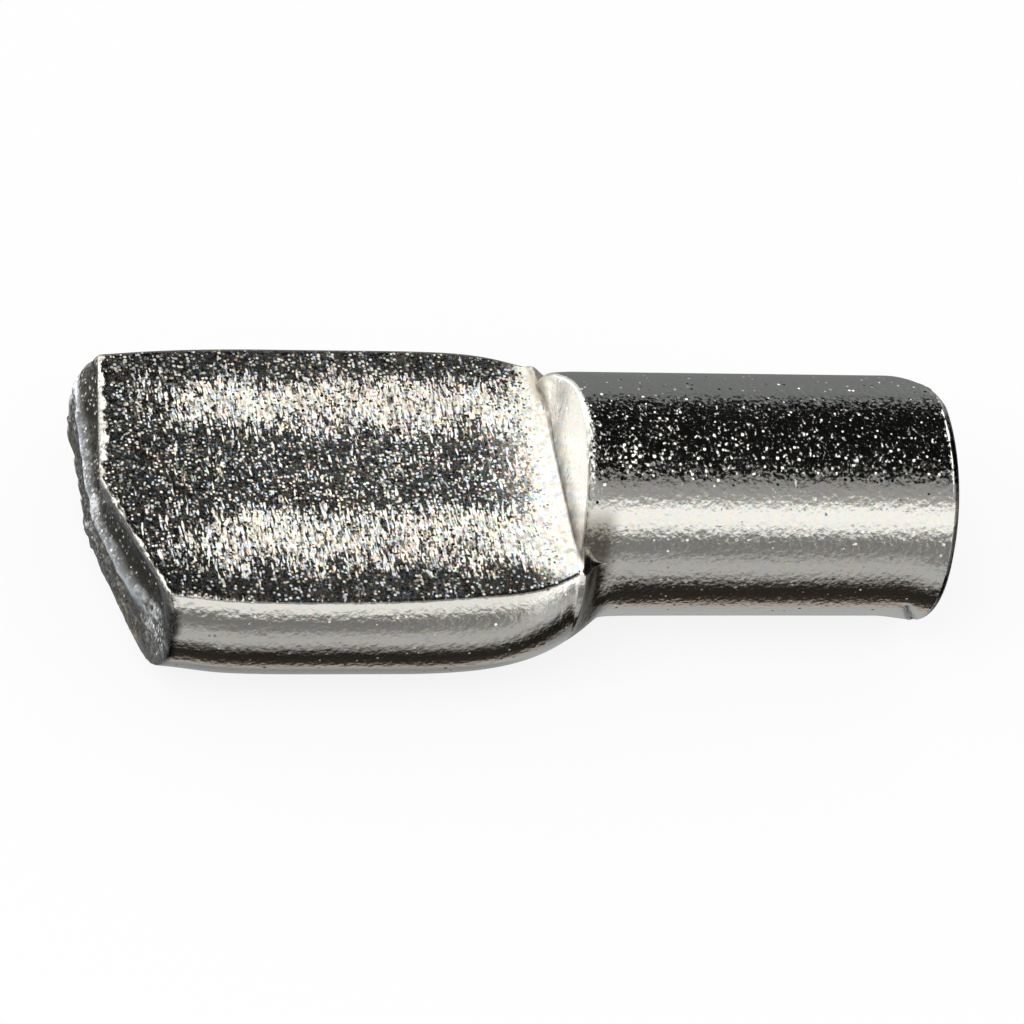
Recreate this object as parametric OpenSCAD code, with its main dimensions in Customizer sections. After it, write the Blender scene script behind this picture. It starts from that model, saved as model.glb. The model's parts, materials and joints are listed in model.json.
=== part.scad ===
// Shelf support pin, spoon pattern, cold-formed from one length of round steel wire.
//
// Axes: X runs along the wire towards the insert's tip, Z is up out of the bearing face,
// and the origin is on the wire's centre line at the step where the bearing face ends.

/* [Wire] */
// Diameter of the wire, which is the diameter of the insert (mm)
wire_d = 5; // [4.6:0.1:5.4]

/* [Insert] */
// Length of the insert from the step to its cut end (mm)
insert_l = 7.97; // [6:0.01:12]
// How much slimmer the insert is at the step, where pressing drew the wire (mm)
neck_draw = 0.02; // [0.01:0.01:0.05]
// Radius on the top edge of the step (mm)
step_edge_r = 0.2; // [0.1:0.05:0.4]
// Radius round the rim of the cut end (mm)
tip_edge_r = 0.08; // [0.04:0.01:0.3]
// How far along the insert the cutting blade drew the rim over (mm)
draw_l = 0.9; // [0.6:0.05:1.5]
// How deep the blade drew the rim over (mm)
draw_depth = 0.24; // [0.16:0.02:0.6]
// Side where the blade entered, measured from straight up towards +Y (degrees)
draw_side = 52; // [0:1:90]
// How far off the wire's axis the draw is centred: more fades faster round the rim (mm)
draw_shift = 0.8; // [0.3:0.05:1]
// Height of the burr that the blade left on the far side (mm)
burr_h = 0.14; // [0.04:0.01:0.2]
// Length of the burr along the insert (mm)
burr_l = 1.2; // [0.8:0.1:2]

/* [Paddle] */
// Length of the paddle from the step to the middle of its free end (mm)
paddle_l = 9.6; // [8:0.1:14]
// Width of the flat bearing face at its widest (mm)
bearing_w = 6.76; // [6.4:0.02:7.2]
// Height of the bearing face above the wire's centre line (mm)
bearing_z = 0.57; // [0.4:0.01:0.8]
// Radius of the bulging sides, as a share of the pressed thickness
side_fullness = 0.567; // [0.53:0.001:0.58]
// How far past upright each side leans where it leaves the bearing face (degrees)
side_lean = 41; // [32:1:42]
// How much narrower the section gets towards the free end, as a share
end_narrowing = 0.05; // [0:0.01:0.08]
// Length of the long curve that sweeps the bearing face up to the step (mm)
sweep_l = 4.5; // [3:0.1:6]
// Rise of that curve where it meets the step (mm)
sweep_rise = 0.16; // [0.06:0.02:0.3]

/* [Shoulder] */
// How far past the step the bulging shoulder reaches along the insert (mm)
shoulder_l = 0.75; // [0.5:0.05:1.5]
// Where the paddle starts to narrow towards the shoulder, back from the step (mm)
flare_l = 5.5; // [4:0.1:6.5]
// Sharpness of the shoulder's curve: higher stays full for longer
flare_power = 5; // [3:0.5:7]

/* [Free end] */
// How far the middle of the cut end stands ahead of its corners (mm)
end_crown = 0.75; // [0:0.05:1]
// Skew of the cut at the bearing face, seen from above (degrees)
end_skew = 6; // [-10:1:10]
// Further skew at the underside, where the wire broke away (degrees)
end_twist = 3; // [0:1:6]
// How far the underside is cut back from the bearing face's edge (mm)
end_cutback = 0.55; // [0:0.05:0.8]
// Height of the ridge between the sheared and the torn half of the cut (mm)
end_ridge = 0.06; // [0:0.02:0.2]
// Radius worn round the edge of the cut (mm)
end_edge = 0.08; // [0.04:0.02:0.14]

/* [Hidden] */

steel = [0.73, 0.72, 0.69];
reach = 20;        // longer and wider than the part, for cutting shapes
eps = 0.01;
round_fn = 96;     // facets of the insert's round walls
edge_fn = 32;      // facets of a small edge radius
arc_fn = 180;      // facets of the blade's long, shallow arc

wire_r = wire_d / 2;
insert_edge_x = insert_l - tip_edge_r;

// Pressed section: a round bulge at each side and a wide, shallow keel underneath.
thickness = bearing_z + wire_r;
side_r = side_fullness * thickness;
side_y = bearing_w / 2 - side_r * cos(side_lean);
side_z = bearing_z - side_r * sin(side_lean);
side_drop = wire_r + side_z;
keel_r = (side_y^2 + side_drop^2 - side_r^2) / (2 * (side_drop - side_r));
keel_z = keel_r - wire_r;
half_w = side_y + side_r;

// Directions round the section are angles up from +Y. The keel takes over from the
// bulge where the two arcs touch, and the bulge fades out above the bearing face.
touch = [side_y, side_z] + side_r * [side_y, side_z - keel_z] / (keel_r - side_r);
keel_dir = atan2(touch[1], touch[0]);
fade_dir = atan2(bearing_z + sweep_rise, wire_r);
fade_span = 12;
fade_end = fade_dir + fade_span;

// The spread wire meets the insert inside its skin on top and a little proud of it
// underneath, where it dips in again at the shoulder's end.
sunk = 0.08;
proud = 0.03;
dip_l = 0.4;
dip_x = shoulder_l - dip_l / 2;
spread_end = shoulder_l + 0.3;

// Length of paddle over which the section's stations settle to the skewed cut.
settle_l = 3;

// Rises from 0 to 1 with no corner at either end.
function smooth(t) = let (s = min(1, max(0, t))) s * s * (3 - 2 * s);

function above_face(dir) = smooth((dir - fade_dir) / fade_span);

// Distance along a ray from the wire's centre to an arc, or to where it passes nearest.
function ray_to_arc(dir, cy, cz, r) =
    let (along = cy * cos(dir) + cz * sin(dir))
    along + sqrt(max(0, along^2 - cy^2 - cz^2 + r^2));

function pressed_r(dir) =
    dir > keel_dir ? ray_to_arc(min(dir, fade_end), side_y, side_z, side_r)
                   : ray_to_arc(dir, 0, keel_z, keel_r);

// Share of its full spread that the section has at x: none at the shoulder's end,
// where it is the round wire again.
function spread(x) =
    let (flare = max(0, (x + flare_l) / (flare_l + shoulder_l)))
    1 - min(1, flare^flare_power);

function unspread_r(x, dir) =
    let (above = above_face(dir),
         below = proud - (proud + sunk) * smooth((x - dip_x) / dip_l))
    wire_r + below * (1 - above) - sunk * above;

function formed_r(x, dir) =
    let (taper = max(0, (-flare_l - x) / (paddle_l - flare_l)),
         base = unspread_r(x, dir),
         bulge = (pressed_r(dir) - base) * spread(x) * (1 - above_face(dir)))
    (base + bulge) * (1 - end_narrowing * taper^2);

// Face of the cut at the free end: x for a point of the section. It runs from the
// bearing face's edge to the underside, with the ridge half-way.
function cut_x(y, z) =
    let (down = min(1, max(0, (bearing_z - z) / thickness)),
         sheared = end_crown * abs(y) / half_w - y * tan(end_skew),
         torn = end_cutback - y * tan(end_skew + end_twist),
         ridge = end_ridge * (1 - abs(2 * down - 1)))
    -paddle_l + sheared * (1 - down) + torn * down - ridge;

// A point of the formed wire. Near the free end its station is drawn to the cut face.
function formed_point(x, dir, size, inset) =
    let (right = abs(dir) <= 90,
         turn = right ? dir : 180 - dir,
         r = formed_r(x, turn) * size,
         y = (right ? 1 : -1) * r * cos(turn),
         z = r * sin(turn),
         pull = smooth(1 - (x + paddle_l) / settle_l))
    [x + (cut_x(y, z) + paddle_l) * pull + inset, y, z];

// Directions of the section's points from top to bottom, close together round the bulge.
function steps(from, to, n) = [for (i = [0 : n - 1]) from + (to - from) * i / n];
half_dirs = concat(steps(90, fade_end, 5), steps(fade_end, fade_dir, 4),
                   steps(fade_dir, keel_dir, 16), steps(keel_dir, -90, 6), [-90]);
dirs = concat(half_dirs, [for (i = [len(half_dirs) - 2 : -1 : 1]) 180 - half_dirs[i]]);
dir_n = len(dirs);

function ring(x, size = 1, inset = 0) =
    [for (dir = dirs) formed_point(x, dir, size, inset)];

// Stations along the wire crowd together over the shoulder, where the form turns fastest.
station_n = 30;
crowding = 1.7;
function station(t) = -paddle_l + (paddle_l + spread_end) * (1 - (1 - t)^crowding);

// The wire after the lower die has spread it, before the bearing face is struck: rings
// of points across the cut face, round its edge and along the wire to inside the insert.
module spread_wire() {
    face_n = 5;
    face = [for (i = [1 : face_n - 1]) ring(-paddle_l, i / face_n)];
    edge = [ring(-paddle_l, 1 - end_edge / half_w), ring(-paddle_l, 1, end_edge)];
    body = [for (i = [1 : station_n]) ring(station(i / station_n))];
    rings = concat(face, edge, body);
    ring_n = len(rings);
    face_mid = ring_n * dir_n;
    last_ring = face_mid - dir_n;
    mids = [formed_point(-paddle_l, 0, 0, 0), [spread_end, 0, 0]];
    skin = [for (j = [0 : ring_n - 2], i = [0 : dir_n - 1])
        let (a = j * dir_n + i,
             b = j * dir_n + (i + 1) % dir_n)
        each [[a, b, a + dir_n], [b, b + dir_n, a + dir_n]]];
    fans = [for (i = [0 : dir_n - 1])
        let (next = (i + 1) % dir_n)
        each [[face_mid, next, i], [face_mid + 1, last_ring + i, last_ring + next]]];
    polyhedron([each for (r = rings) r, each mids], concat(skin, fans));
}

// Stands a drawing of X and Z up along Y.
module along_y(width) {
    rotate([90, 0, 0])
        linear_extrude(width, center = true)
            children();
}

// Stands a drawing of radius and X round the wire's axis.
module round_x() {
    rotate([0, 90, 0])
        rotate_extrude($fn = round_fn)
            children();
}

// What the upper die pushes away: everything over the bearing face and its sweep.
module struck_away() {
    sweep_n = 6;
    sweep = [for (i = [0 : sweep_n])
        let (t = i / sweep_n)
        [sweep_l * (t - 1), bearing_z + sweep_rise * t^2]];
    along_y(reach)
        polygon(concat([[-reach, bearing_z]], sweep, [[0, reach], [-reach, reach]]));
}

// What the blade drew off the rim of the cut end: a ring round an axis set over from the
// wire's, so that it bites deepest where the blade entered and fades to nothing round it.
module drawn_away() {
    draw_r = (draw_l^2 + draw_depth^2) / (2 * draw_depth);
    outer_r = wire_r + draw_shift + 2 * eps;
    rotate([-draw_side, 0, 0])
        translate([0, 0, -draw_shift])
            round_x()
                difference() {
                    translate([outer_r - draw_depth, insert_l - draw_l])
                        square([2 * draw_depth, 2 * draw_l]);
                    translate([outer_r - draw_r, insert_l - draw_l])
                        circle(draw_r, $fn = arc_fn);
                }
}

// The lip of metal that the blade pushed out on the far side: a cone set over from the
// wire's axis, which leaves the insert's skin half-way along its length.
module burr() {
    burr_r = wire_r - 0.35;
    rotate([-draw_side, 0, 0])
        translate([insert_edge_x - burr_l, 0, burr_r - wire_r - burr_h])
            rotate([0, 90, 0])
                cylinder(h = burr_l, r1 = burr_r - 2 * burr_h, r2 = burr_r, $fn = round_fn);
}

// The insert is the wire itself, a true cylinder from the shoulder's end to its tip, with
// a neck that slims towards the step and with both of its edges rounded.
module round_wire() {
    neck_r = wire_r - neck_draw;
    round_x() {
        polygon([[0, step_edge_r], [neck_r, step_edge_r],
                 [wire_r, spread_end], [0, spread_end]]);
        translate([0, spread_end])
            square([wire_r, insert_edge_x - spread_end]);
        square([neck_r - step_edge_r, 2 * step_edge_r]);
        square([wire_r - tip_edge_r, insert_l]);
        translate([neck_r - step_edge_r, step_edge_r])
            circle(step_edge_r, $fn = edge_fn);
        translate([wire_r - tip_edge_r, insert_edge_x])
            circle(tip_edge_r, $fn = edge_fn);
    }
}

module shelf_pin() {
    color(steel) {
        difference() {
            spread_wire();
            struck_away();
        }
        difference() {
            round_wire();
            drawn_away();
        }
        burr();
    }
}

shelf_pin();
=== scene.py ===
"""Looks of the spoon-pattern shelf support pin: one skin of plated steel, a studio and a camera."""
import json
import math

import bpy
import numpy as np
from mathutils import Matrix, Vector, noise


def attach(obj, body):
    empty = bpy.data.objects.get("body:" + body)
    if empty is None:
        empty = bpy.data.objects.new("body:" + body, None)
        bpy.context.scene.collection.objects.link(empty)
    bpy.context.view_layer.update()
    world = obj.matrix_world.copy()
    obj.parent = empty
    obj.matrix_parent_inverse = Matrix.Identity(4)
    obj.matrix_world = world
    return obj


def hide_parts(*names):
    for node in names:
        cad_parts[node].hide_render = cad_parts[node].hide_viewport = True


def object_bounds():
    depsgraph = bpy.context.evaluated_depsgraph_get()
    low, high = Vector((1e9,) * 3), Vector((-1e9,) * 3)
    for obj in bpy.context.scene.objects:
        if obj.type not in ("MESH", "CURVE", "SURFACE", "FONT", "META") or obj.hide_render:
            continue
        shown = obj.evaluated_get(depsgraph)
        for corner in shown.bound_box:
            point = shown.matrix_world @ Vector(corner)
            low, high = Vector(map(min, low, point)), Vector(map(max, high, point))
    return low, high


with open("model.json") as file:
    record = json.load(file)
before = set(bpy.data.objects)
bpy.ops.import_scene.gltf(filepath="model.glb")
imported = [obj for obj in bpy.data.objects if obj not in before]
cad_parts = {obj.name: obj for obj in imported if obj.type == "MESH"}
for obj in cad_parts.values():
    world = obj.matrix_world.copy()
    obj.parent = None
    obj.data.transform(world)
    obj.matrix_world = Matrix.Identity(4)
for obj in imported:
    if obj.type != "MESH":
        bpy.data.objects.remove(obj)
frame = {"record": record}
cad_lo, cad_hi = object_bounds()

MM = 0.001

# ---- Sizes, in millimetres ----
# A pair named FROM, TURN, ON or OFF is where something begins and the length it takes.
mounts = {m["name"]: m for m in frame["record"]["mounts"]}
WIRE_R = mounts["insert"]["dims"]["r_mm"]
BEARING_Z = mounts["bearing_face"]["pos_m"][2] / MM
INSERT_L = cad_hi.x / MM
PADDLE_L = -cad_lo.x / MM
HALF_W = cad_hi.y / MM

# pressed section
SIDE_FULLNESS = 0.567  # bulge radius as a share of the pressed thickness
SIDE_LEAN = 41.0  # degrees past upright where the bulge leaves the face
CREASE_R = 0.07  # rounding of the bearing face's long edges

# bearing face
BOW_L = 6.0  # the face bows up gently over this length
BOW_RISE = 0.10
SWEEP_L = (0.38, 1.4)  # length of the steeper sweep, at +Y and -Y
SWEEP_RISE = (0.055, 0.09)  # and its rise
SWEEP_END = -0.05  # the last full section of the paddle

# step
FOOT_X = (-0.12, -0.07)  # where the sweep meets the wall, at -Y and +Y
FOOT_TURN = (-3.0, 4.0)  # from the one to the other along Y
FOOT_BEND = 0.17  # how far the foot draws back at the +Y edge
FOOT_BEND_FROM = (2.6, 0.4)
PULL_FROM = (-2.0, 2.0)  # the stations are drawn to the foot along X
PULL_UP_FROM = (-1.2, 1.6)  # and up
# the wall's top edge: degrees round the wire from +Y, and x
STEP_TOP = ((0, -0.14), (50, -0.10), (58, 0.03), (66, 0.12), (85, 0.107), (105, 0.063),
            (134, -0.01), (150, -0.03), (180, 0.0))
STEP_TOP_MEAN = (-9, -6, -3, 0, 3, 6, 9)  # it is averaged over these offsets
STEP_ENDS = 20.0  # degrees over which it runs out at the face's level
STEP_EDGE_R = (0.10, 0.05)  # rounding of that edge, on top and at the -Y side
STEP_EDGE_TURN = (95, 25)  # from the one to the other, in degrees round the wire
STEP_FILLET = (0.16, 0.05)  # rounding of the foot, at +Y and -Y
STEP_FILLET_TURN = (-1.9, 1.6)  # from the one to the other along -Y
STEP_TALL = 0.35  # where it is lower its wall fades into the wire
STEP_PARTS = (0.25, 0.6)  # shares of its rings up to the fillet's and the wall's end

# shoulder, where the spread wire runs back into the round one at the step
FLARE_L = 5.5  # the full spread ends this far before it
FLARE_POWER = (6.3, 5.0)  # at +Y and -Y
SHOULDER_L = 0.8  # and the round wire begins this far past it
SHOULDER_BLEND = 0.15
HUMP_L = 0.62  # past the step the top of the bulge ends over this length
HUMP_POWER = 1.6
HUMP_DIRS = (math.radians(-25), math.radians(8))  # the bulge's top is from here to here up
LEDGE_DIR = math.radians(14.6)  # past the step the bulge ends here in a level ledge
LEDGE_OVER = math.radians(5)  # further up than this its radius stays the same
LEDGE_BLEND = (0.4, 0.85)  # its soft joint with the wire, at +Y and -Y
LEDGE_FULL = 0.3  # height of ledge at which that joint is full
LEDGE_FADE = 0.6  # radians below it over which the joint is lost
LEAST_BLEND = 1e-4
WAIST = (0.055, -2.3, 1.2)  # slight waist in the -Y edge: share, place and length
FRONT_SHARP = 2.0  # how fast +Y's numbers turn into -Y's on top
NECK_DRAW = 0.024  # the wire is slimmer by this at the step
NECK_L = 0.42

# free end
END_NARROWING = 0.05  # from the full spread on
END_PEAK = (-9.60, -0.18)  # x and y of the foremost point
END_SLOPE = (0.131, 0.335)  # how the edge falls back towards +Y and -Y
END_LEAN = math.radians(9)  # the torn lower edge's skew
END_CUTBACK = 0.55
END_EDGE = 0.042  # rounding of the cut's edge
END_BEADS = (0.35, 1.9)  # it varies between these multiples of it
END_BEADS_PER_MM = 6.5
END_BACK_EDGE = 1.7  # and is larger by this share on the +Y side
# the torn rim's waves: degrees round the wire from +Y, and offset
RIM_WAVE = ((-170, 0.0), (-153, 0.04), (-140, 0.06), (-108, 0.035), (-93, -0.02), (-81, -0.07),
            (-69, -0.09), (-52, 0.03), (-45, 0.08), (-37, 0.10), (-30, -0.02), (-20, -0.08),
            (-5, -0.10), (3, 0.0))
RIM_WAVE_FROM = (0.5, 0.4)  # they come in from the middle of the cut to its rim
RIM_OVAL = (-0.9, 1.5)  # the cut's middle in Z, and half its height
SETTLE_L = 3.0  # length whose stations are drawn to the skewed cut

# The cut's forms lie at shares of its height, from the bearing face down, and of its
# half width. Their heights are along X, and a negative one stands proud.
RIDGE_DOWN = 0.46
RIDGE_DIP = (0.08, 0.2, 0.25)  # the ridge runs lower by, at, over this width
RIDGE_RISE = 0.10  # and higher by this towards +Y
RIDGE_RISE_FROM = (0.5, 0.4)
RIDGE_FROM = (-0.75, 0.3)
RIDGE = (-0.13, 0.055)  # height and width
# The ridge zone's line is a painted highlight, placed by RIDGE_SHINE.
RIDGE_SHINE = (0.10, 0.048)  # its bright line: how far above it in Z, and width
VALLEY = (0.16, -0.22, 0.13)  # height, place from the ridge, width
VALLEY_FROM = (-0.8, 0.3)
# The valley zone is the part of the cut's valley painted dark as shade.
VALLEY_FROMS = ((0.02, 0.05), (0.04, 0.06))  # its dull part, off the face's edge and the ridge
BOWL_H = 0.26
BOWL_ACROSS = (-0.78, 0.24)  # its place and width
BOWL_DOWN = (0.33, 0.24)
LIP = (-0.05, 0.86, 0.07)  # the torn lip along the lower edge: height, place, width
TORN_L = 0.12  # the torn half begins over this below the ridge
COARSE = (0.05, 1.7)  # height of the coarse relief, and waves per millimetre
FINE = (0.012, 0.05, 5.5)  # of the fine one: height, more on the torn half, waves
RELIEF_FADE = 3.2  # the relief is lost towards the rim, this fast

# insert's tip
TIP_EDGE = (0.13, 0.08)  # rim rounding: along the insert, and off its radius
TIP_LINE = (0.016, 0.022)  # the small burr line before it: height, half width
TIP_LINE_VARIES = (0.8, 1.2, 5.0)  # mean, spread, pitch per millimetre
TIP_LINE_LIMITS = (0.2, 1.8)
TIP_LINE_L = 0.04  # length kept free for it
DRAW_L = 0.9  # the blade drew the rim over
DRAW_DEPTH = 0.24
DRAW_SHIFT = 0.8
DRAW_SIDE = math.radians(52)
BURR_H = 0.09
BURR_L = 1.0
BURR_FROM = (0.45, 0.5)  # round from the blade's side
FOLD_DEPTH = 0.10  # the fold by the burr
FOLD_HALF_W = 0.065
FOLD_PLACE = (0.08, 1.12)  # from the tip, and how fast that grows round the wire
FOLD_DIR = math.radians(-136)
FOLD_ON = (0.0, 0.08)  # in radians round the wire
FOLD_OFF = (0.41, 0.15)

THICKNESS = BEARING_Z + WIRE_R
SIDE_R = SIDE_FULLNESS * THICKNESS
SIDE_Y = HALF_W - SIDE_R
SIDE_Z = BEARING_Z - SIDE_R * math.sin(math.radians(SIDE_LEAN))
SIDE_DROP = WIRE_R + SIDE_Z
KEEL_R = (SIDE_Y**2 + SIDE_DROP**2 - SIDE_R**2) / (2 * (SIDE_DROP - SIDE_R))
KEEL_Z = KEEL_R - WIRE_R
TOUCH_Y = SIDE_Y + SIDE_R * SIDE_Y / (KEEL_R - SIDE_R)
TOUCH_Z = SIDE_Z + SIDE_R * (SIDE_Z - KEEL_Z) / (KEEL_R - SIDE_R)
KEEL_DIR = math.atan2(TOUCH_Z, TOUCH_Y)

# Grid: columns run from top to bottom on each side, rings from the free end to the tip.
FACE_COLS, CREASE_COLS, LOWER_COLS = 76, 6, 66
HALF_COLS = FACE_COLS + CREASE_COLS + LOWER_COLS
CAP_RINGS, PADDLE_RINGS, STEP_RINGS, INSERT_RINGS, TIP_RINGS = 34, 116, 24, 110, 22
RIM_RINGS = 2  # the cap's last rings, which are part of its rim
CAP_EDGE_TURNS = np.radians([22.5, 45, 67.5, 90])
TIP_EDGE_TURNS = np.radians([15, 30, 45, 60, 75, 90])
TIP_LINE_RINGS = (-0.7, 0.0, 0.7)  # in half widths of the burr line
CROWDING = (0.10, -0.08)  # to the paddle's middle, and the insert's ends
COLUMN_LEAN = 0.6  # towards even directions near the step
COLUMN_LEAN_FROM = (-3.0, 3.0)
COLUMNS_EVEN_FROM = (0.5, 4.0)  # and they even out along the insert
ROUNDS = 40  # until the crease is found on the sloping face

# Shares that the material reads: ZONES are kept for each point of the skin
ZONES = ("cut", "ridge", "valley", "rim", "face", "foot", "wall", "corner", "brow")
FOOT_ZONE = (1.1, 2.5)  # length before the step, and power
# The corner zone is painted shade along the foot of the step's wall.
CORNER_H = (0.75, 1.75)  # height at -Y and +Y
CORNER_TURN = (1.5, 1.0)
CORNER_ON = (0.0, 0.1)  # these are in shares of the step's rings
# The brow zone is painted shade: a dark line along the step's top edge at -Y.
BROW = (0.92, 0.10)
BROW_TURN = (92, 15)  # degrees round the wire
# The wall zone is where the step's wall is painted whiter than the plating, a painted highlight.
WALL_ON = (0.0, 0.15)
WALL_OFF = (0.65, 0.2)


# ---- The form, the same maths as the CAD solid at a finer pitch ----
def smooth(t):
    s = np.clip(t, 0.0, 1.0)
    return s * s * (3.0 - 2.0 * s)


def past(value, start, length):
    """0 before the start, 1 a length past it."""
    return smooth((value - start) / length)


def bell(value, centre, width):
    return np.exp(-((value - centre) / width)**2)


def between(pair, share):
    return pair[0] + (pair[1] - pair[0]) * share


def looked_up(pairs, value):
    """The number at this value, from pairs of a value and a number."""
    return np.interp(value, [key for key, _ in pairs], [number for _, number in pairs])


def soft_positive(value, blend):
    """The value where it is positive, otherwise 0, rounded off where they meet."""
    return np.maximum(value, 0.0) + np.maximum(blend - np.abs(value), 0.0)**2 / (4 * blend)


def relief(points, scale, octaves):
    """Fractal noise at each point, roughly -1 to 1."""
    return np.array([noise.fractal(Vector(p) * scale, 1.0, 2.0, octaves) for p in points])


def wrap(direction):
    return (direction + math.pi) % (2 * math.pi) - math.pi


def folded(direction):
    """A direction on the left side as its mirror on the right."""
    return np.where(np.abs(direction) > math.pi / 2, np.sign(direction) * math.pi - direction,
                    direction)


def front_share(direction):
    """1 for directions on the -Y side, 0 on the +Y side."""
    return smooth(0.5 - FRONT_SHARP * np.cos(direction))


def ray_to_arc(direction, cy, cz, r):
    along = cy * np.cos(direction) + cz * np.sin(direction)
    return along + np.sqrt(np.maximum(along**2 - cy**2 - cz**2 + r**2, 0.0))


def pressed_r(direction):
    """Radius of the pressed section: a bulge at the side and a wide keel underneath."""
    side = ray_to_arc(np.minimum(direction, LEDGE_DIR + LEDGE_OVER), SIDE_Y, SIDE_Z, SIDE_R)
    keel = ray_to_arc(direction, 0.0, KEEL_Z, KEEL_R)
    return np.where(direction > KEEL_DIR, side, keel)


def wire_r_at(x):
    """Radius of the round wire: a shallow neck behind the step."""
    return WIRE_R - NECK_DRAW * np.clip(1.0 - x / NECK_L, 0.0, 1.0)**2


def spread(x, front):
    """Share of the full spread at x, easing into the round wire past the shoulder."""
    flare = np.maximum(0.0, (x + FLARE_L) / (FLARE_L + SHOULDER_L))
    left = 1.0 - flare**between(FLARE_POWER, front)
    eased = (left + np.sqrt(left**2 + SHOULDER_BLEND**2)) / 2
    return np.where(x < -FLARE_L, 1.0, np.minimum(eased, 1.0))


def bulge_at(x, direction, front):
    """How far the spread wire stands out from the round one."""
    high = smooth((direction - HUMP_DIRS[0]) / (HUMP_DIRS[1] - HUMP_DIRS[0]))
    run_out = 1.0 - (1.0 - np.clip(x / HUMP_L, 0.0, 1.0))**HUMP_POWER
    ended = 1.0 - high * (run_out + front * WAIST[0] * bell(x, *WAIST[1:]))
    return (pressed_r(direction) - wire_r_at(x)) * spread(x, front) * ended


def formed_r(x, direction, front, ledge_blend=None):
    """Radius of the spread wire at x, for a direction folded to the right side.

    front is 1 at -Y and 0 at +Y. With ledge_blend, a level ledge closes the bulge's top.
    """
    taper = np.clip((-FLARE_L - x) / (PADDLE_L - FLARE_L), 0.0, None)
    base = wire_r_at(x)
    bulge = bulge_at(x, direction, front)
    if ledge_blend is not None:
        edge = bulge_at(x, LEDGE_DIR, front)
        ledge_z = (base + edge) * math.sin(LEDGE_DIR)
        top = ledge_z / np.sin(np.maximum(direction, LEDGE_DIR)) - base
        blend = np.maximum(ledge_blend * smooth(edge / LEDGE_FULL), LEAST_BLEND)
        # below the ledge the bulge starts as high as the soft joint leaves it
        lift = soft_positive(edge, blend) - edge
        lift = lift * smooth(1.0 - (LEDGE_DIR - direction) / LEDGE_FADE)
        bulge = np.where(direction > LEDGE_DIR, soft_positive(top, blend), bulge + lift)
    return (base + bulge) * (1.0 - END_NARROWING * taper**2)


def face_z(x, y):
    """Height of the bearing face: bowed, then swept up towards the step."""
    across = np.clip(0.5 - y / (2 * HALF_W), 0.0, 1.0)**2
    length = between(SWEEP_L, across)
    sweep = np.clip((x + length) / length, 0.0, 1.0)
    bow = np.clip((x + BOW_L) / BOW_L, 0.0, 1.0)
    return BEARING_Z + BOW_RISE * bow**2 + between(SWEEP_RISE, across) * sweep**2


def foot_x(y):
    """Where the sweep meets the wall: further back at the +Y edge."""
    return between(FOOT_X, past(y, *FOOT_TURN)) - FOOT_BEND * past(y, *FOOT_BEND_FROM)


def step_top(turn):
    """Where the wall's top edge lies, by degrees round the wire, upper half only."""
    x = np.mean([looked_up(STEP_TOP, turn + offset) for offset in STEP_TOP_MEAN], axis=0)
    return x * smooth(turn / STEP_ENDS + 0.5) * smooth((180 - turn) / STEP_ENDS + 0.5)


def cut_down(z):
    """How far down the cut a point is: 0 at the bearing face, 1 at the underside."""
    return np.clip((BEARING_Z - z) / THICKNESS, 0.0, 1.0)


def cut_x(y, z):
    """Sheared free end: x for a point of the section."""
    down = cut_down(z)
    x, mid = END_PEAK
    sheared = x + np.where(y > mid, END_SLOPE[0] * (y - mid), END_SLOPE[1] * (mid - y))
    torn = -PADDLE_L + END_CUTBACK - y * math.tan(END_LEAN)
    outward = np.hypot(y / HALF_W, (z - RIM_OVAL[0]) / RIM_OVAL[1])
    wave = looked_up(RIM_WAVE, np.degrees(np.arctan2(z, y))) * past(outward, *RIM_WAVE_FROM)
    return sheared * (1.0 - down) + torn * down + wave


def ridge_down(y):
    """How far down the cut its ridge runs."""
    across = y / HALF_W
    dip = RIDGE_DIP[0] * bell(across, *RIDGE_DIP[1:])
    return RIDGE_DOWN + dip - RIDGE_RISE * past(across, *RIDGE_RISE_FROM)


def cut_ridge(y, z, width):
    return bell(cut_down(z), ridge_down(y), width) * past(y / HALF_W, *RIDGE_FROM)


def cut_valley(y, z):
    """1 between the bearing face's edge and the ridge."""
    down = cut_down(z)
    return past(down, *VALLEY_FROMS[0]) * past(ridge_down(y) - down, *VALLEY_FROMS[1])


def cut_relief(y, z):
    """The cut's valley, ridge, bowl and torn lower half, as an offset along X."""
    down = cut_down(z)
    across = y / HALF_W
    ridge_at = ridge_down(y)
    ridge = RIDGE[0] * cut_ridge(y, z, RIDGE[1])
    valley = VALLEY[0] * bell(down, ridge_at + VALLEY[1], VALLEY[2]) * past(across, *VALLEY_FROM)
    bowl = BOWL_H * bell(across, *BOWL_ACROSS) * bell(down, *BOWL_DOWN)
    torn = past(down, ridge_at, TORN_L)
    lip = LIP[0] * bell(down, *LIP[1:]) * torn
    points = np.stack([y, z, y * 0], axis=-1)
    coarse = COARSE[0] * relief(points, COARSE[1], 3)
    fine = (FINE[0] + FINE[1] * torn) * relief(points + 7.0, FINE[2], 4)
    return valley + ridge + bowl + lip + coarse + fine


def mirror_half(right, left):
    """Joins the columns of both sides to one ring, top to bottom and back up."""
    return np.concatenate([right, left[..., -2:0:-1]], axis=-1)


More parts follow.
